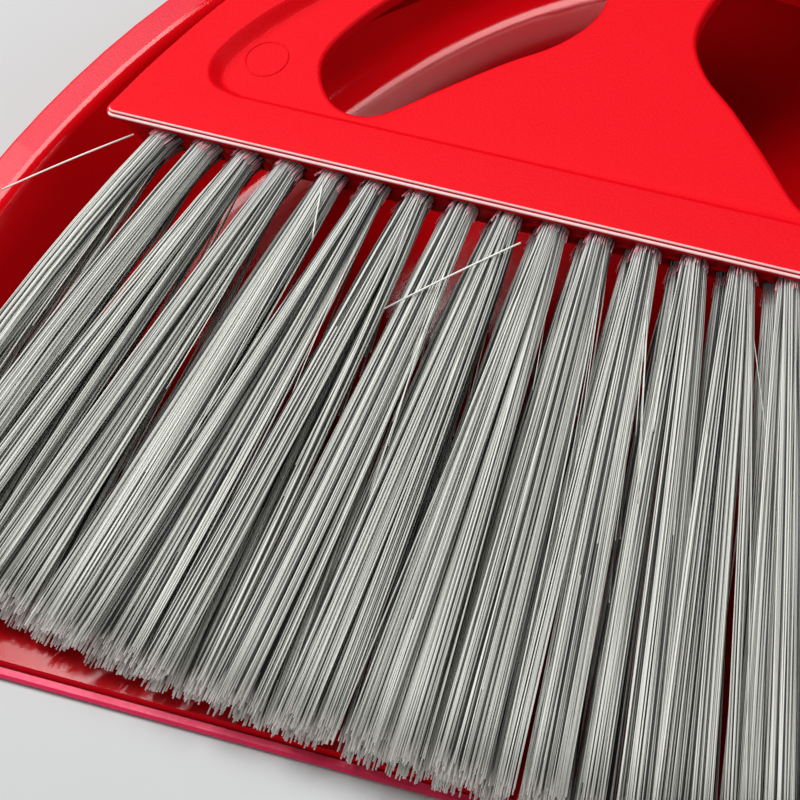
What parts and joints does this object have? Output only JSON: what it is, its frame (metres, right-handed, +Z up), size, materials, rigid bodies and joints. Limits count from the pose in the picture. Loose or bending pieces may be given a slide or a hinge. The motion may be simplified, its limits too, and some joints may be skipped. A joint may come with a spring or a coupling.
{
  "type": "dustpan and hand brush",
  "caption": "Hand dustpan with a soft front lip and a raised rim, and a flat brush with a fan of long bristles lying in it.",
  "frame": {"origin": "middle of the whole outline, at the floor the dustpan lies on", "axes": "+Z up; the dustpan opens towards -Y and both handles point to +Y; +X to the right seen from above with the handles away"},
  "size_m": [0.258, 0.312, 0.0415],
  "materials": {
    "dustpan_red_plastic": "smooth moulded inside, fine satin grain on the rim",
    "brush_red_plastic": "satin, fine sparkling grain",
    "lip_soft_plastic": "soft satin",
    "bristle_grey_nylon": "drawn filaments, slight gloss"
  },
  "bodies": {
    "dustpan": {"dustpan_body": "dustpan_red_plastic", "lip_strip": "lip_soft_plastic"},
    "brush": {"brush_block": "brush_red_plastic", "tuft_upper_01": "bristle_grey_nylon", "tuft_upper_02": "bristle_grey_nylon", "tuft_upper_03": "bristle_grey_nylon", "tuft_upper_04": "bristle_grey_nylon", "tuft_upper_05": "bristle_grey_nylon", "tuft_upper_06": "bristle_grey_nylon", "tuft_upper_07": "bristle_grey_nylon", "tuft_upper_08": "bristle_grey_nylon", "tuft_upper_09": "bristle_grey_nylon", "tuft_upper_10": "bristle_grey_nylon", "tuft_upper_11": "bristle_grey_nylon", "tuft_upper_12": "bristle_grey_nylon", "tuft_upper_13": "bristle_grey_nylon", "tuft_upper_14": "bristle_grey_nylon", "tuft_upper_15": "bristle_grey_nylon", "tuft_upper_16": "bristle_grey_nylon", "tuft_upper_17": "bristle_grey_nylon", "tuft_upper_18": "bristle_grey_nylon", "tuft_upper_19": "bristle_grey_nylon", "tuft_lower_01": "bristle_grey_nylon", "tuft_lower_02": "bristle_grey_nylon", "tuft_lower_03": "bristle_grey_nylon", "tuft_lower_04": "bristle_grey_nylon", "tuft_lower_05": "bristle_grey_nylon", "tuft_lower_06": "bristle_grey_nylon", "tuft_lower_07": "bristle_grey_nylon", "tuft_lower_08": "bristle_grey_nylon", "tuft_lower_09": "bristle_grey_nylon", "tuft_lower_10": "bristle_grey_nylon", "tuft_lower_11": "bristle_grey_nylon", "tuft_lower_12": "bristle_grey_nylon", "tuft_lower_13": "bristle_grey_nylon", "tuft_lower_14": "bristle_grey_nylon", "tuft_lower_15": "bristle_grey_nylon", "tuft_lower_16": "bristle_grey_nylon", "tuft_lower_17": "bristle_grey_nylon", "tuft_lower_18": "bristle_grey_nylon", "tuft_lower_19": "bristle_grey_nylon"}
  },
  "joints": [
    {"name": "brush_lift", "type": "slide", "parent": "dustpan", "child": "brush", "axis": [0, 0, 1], "range_m": [0, 0.12]}
  ]
}
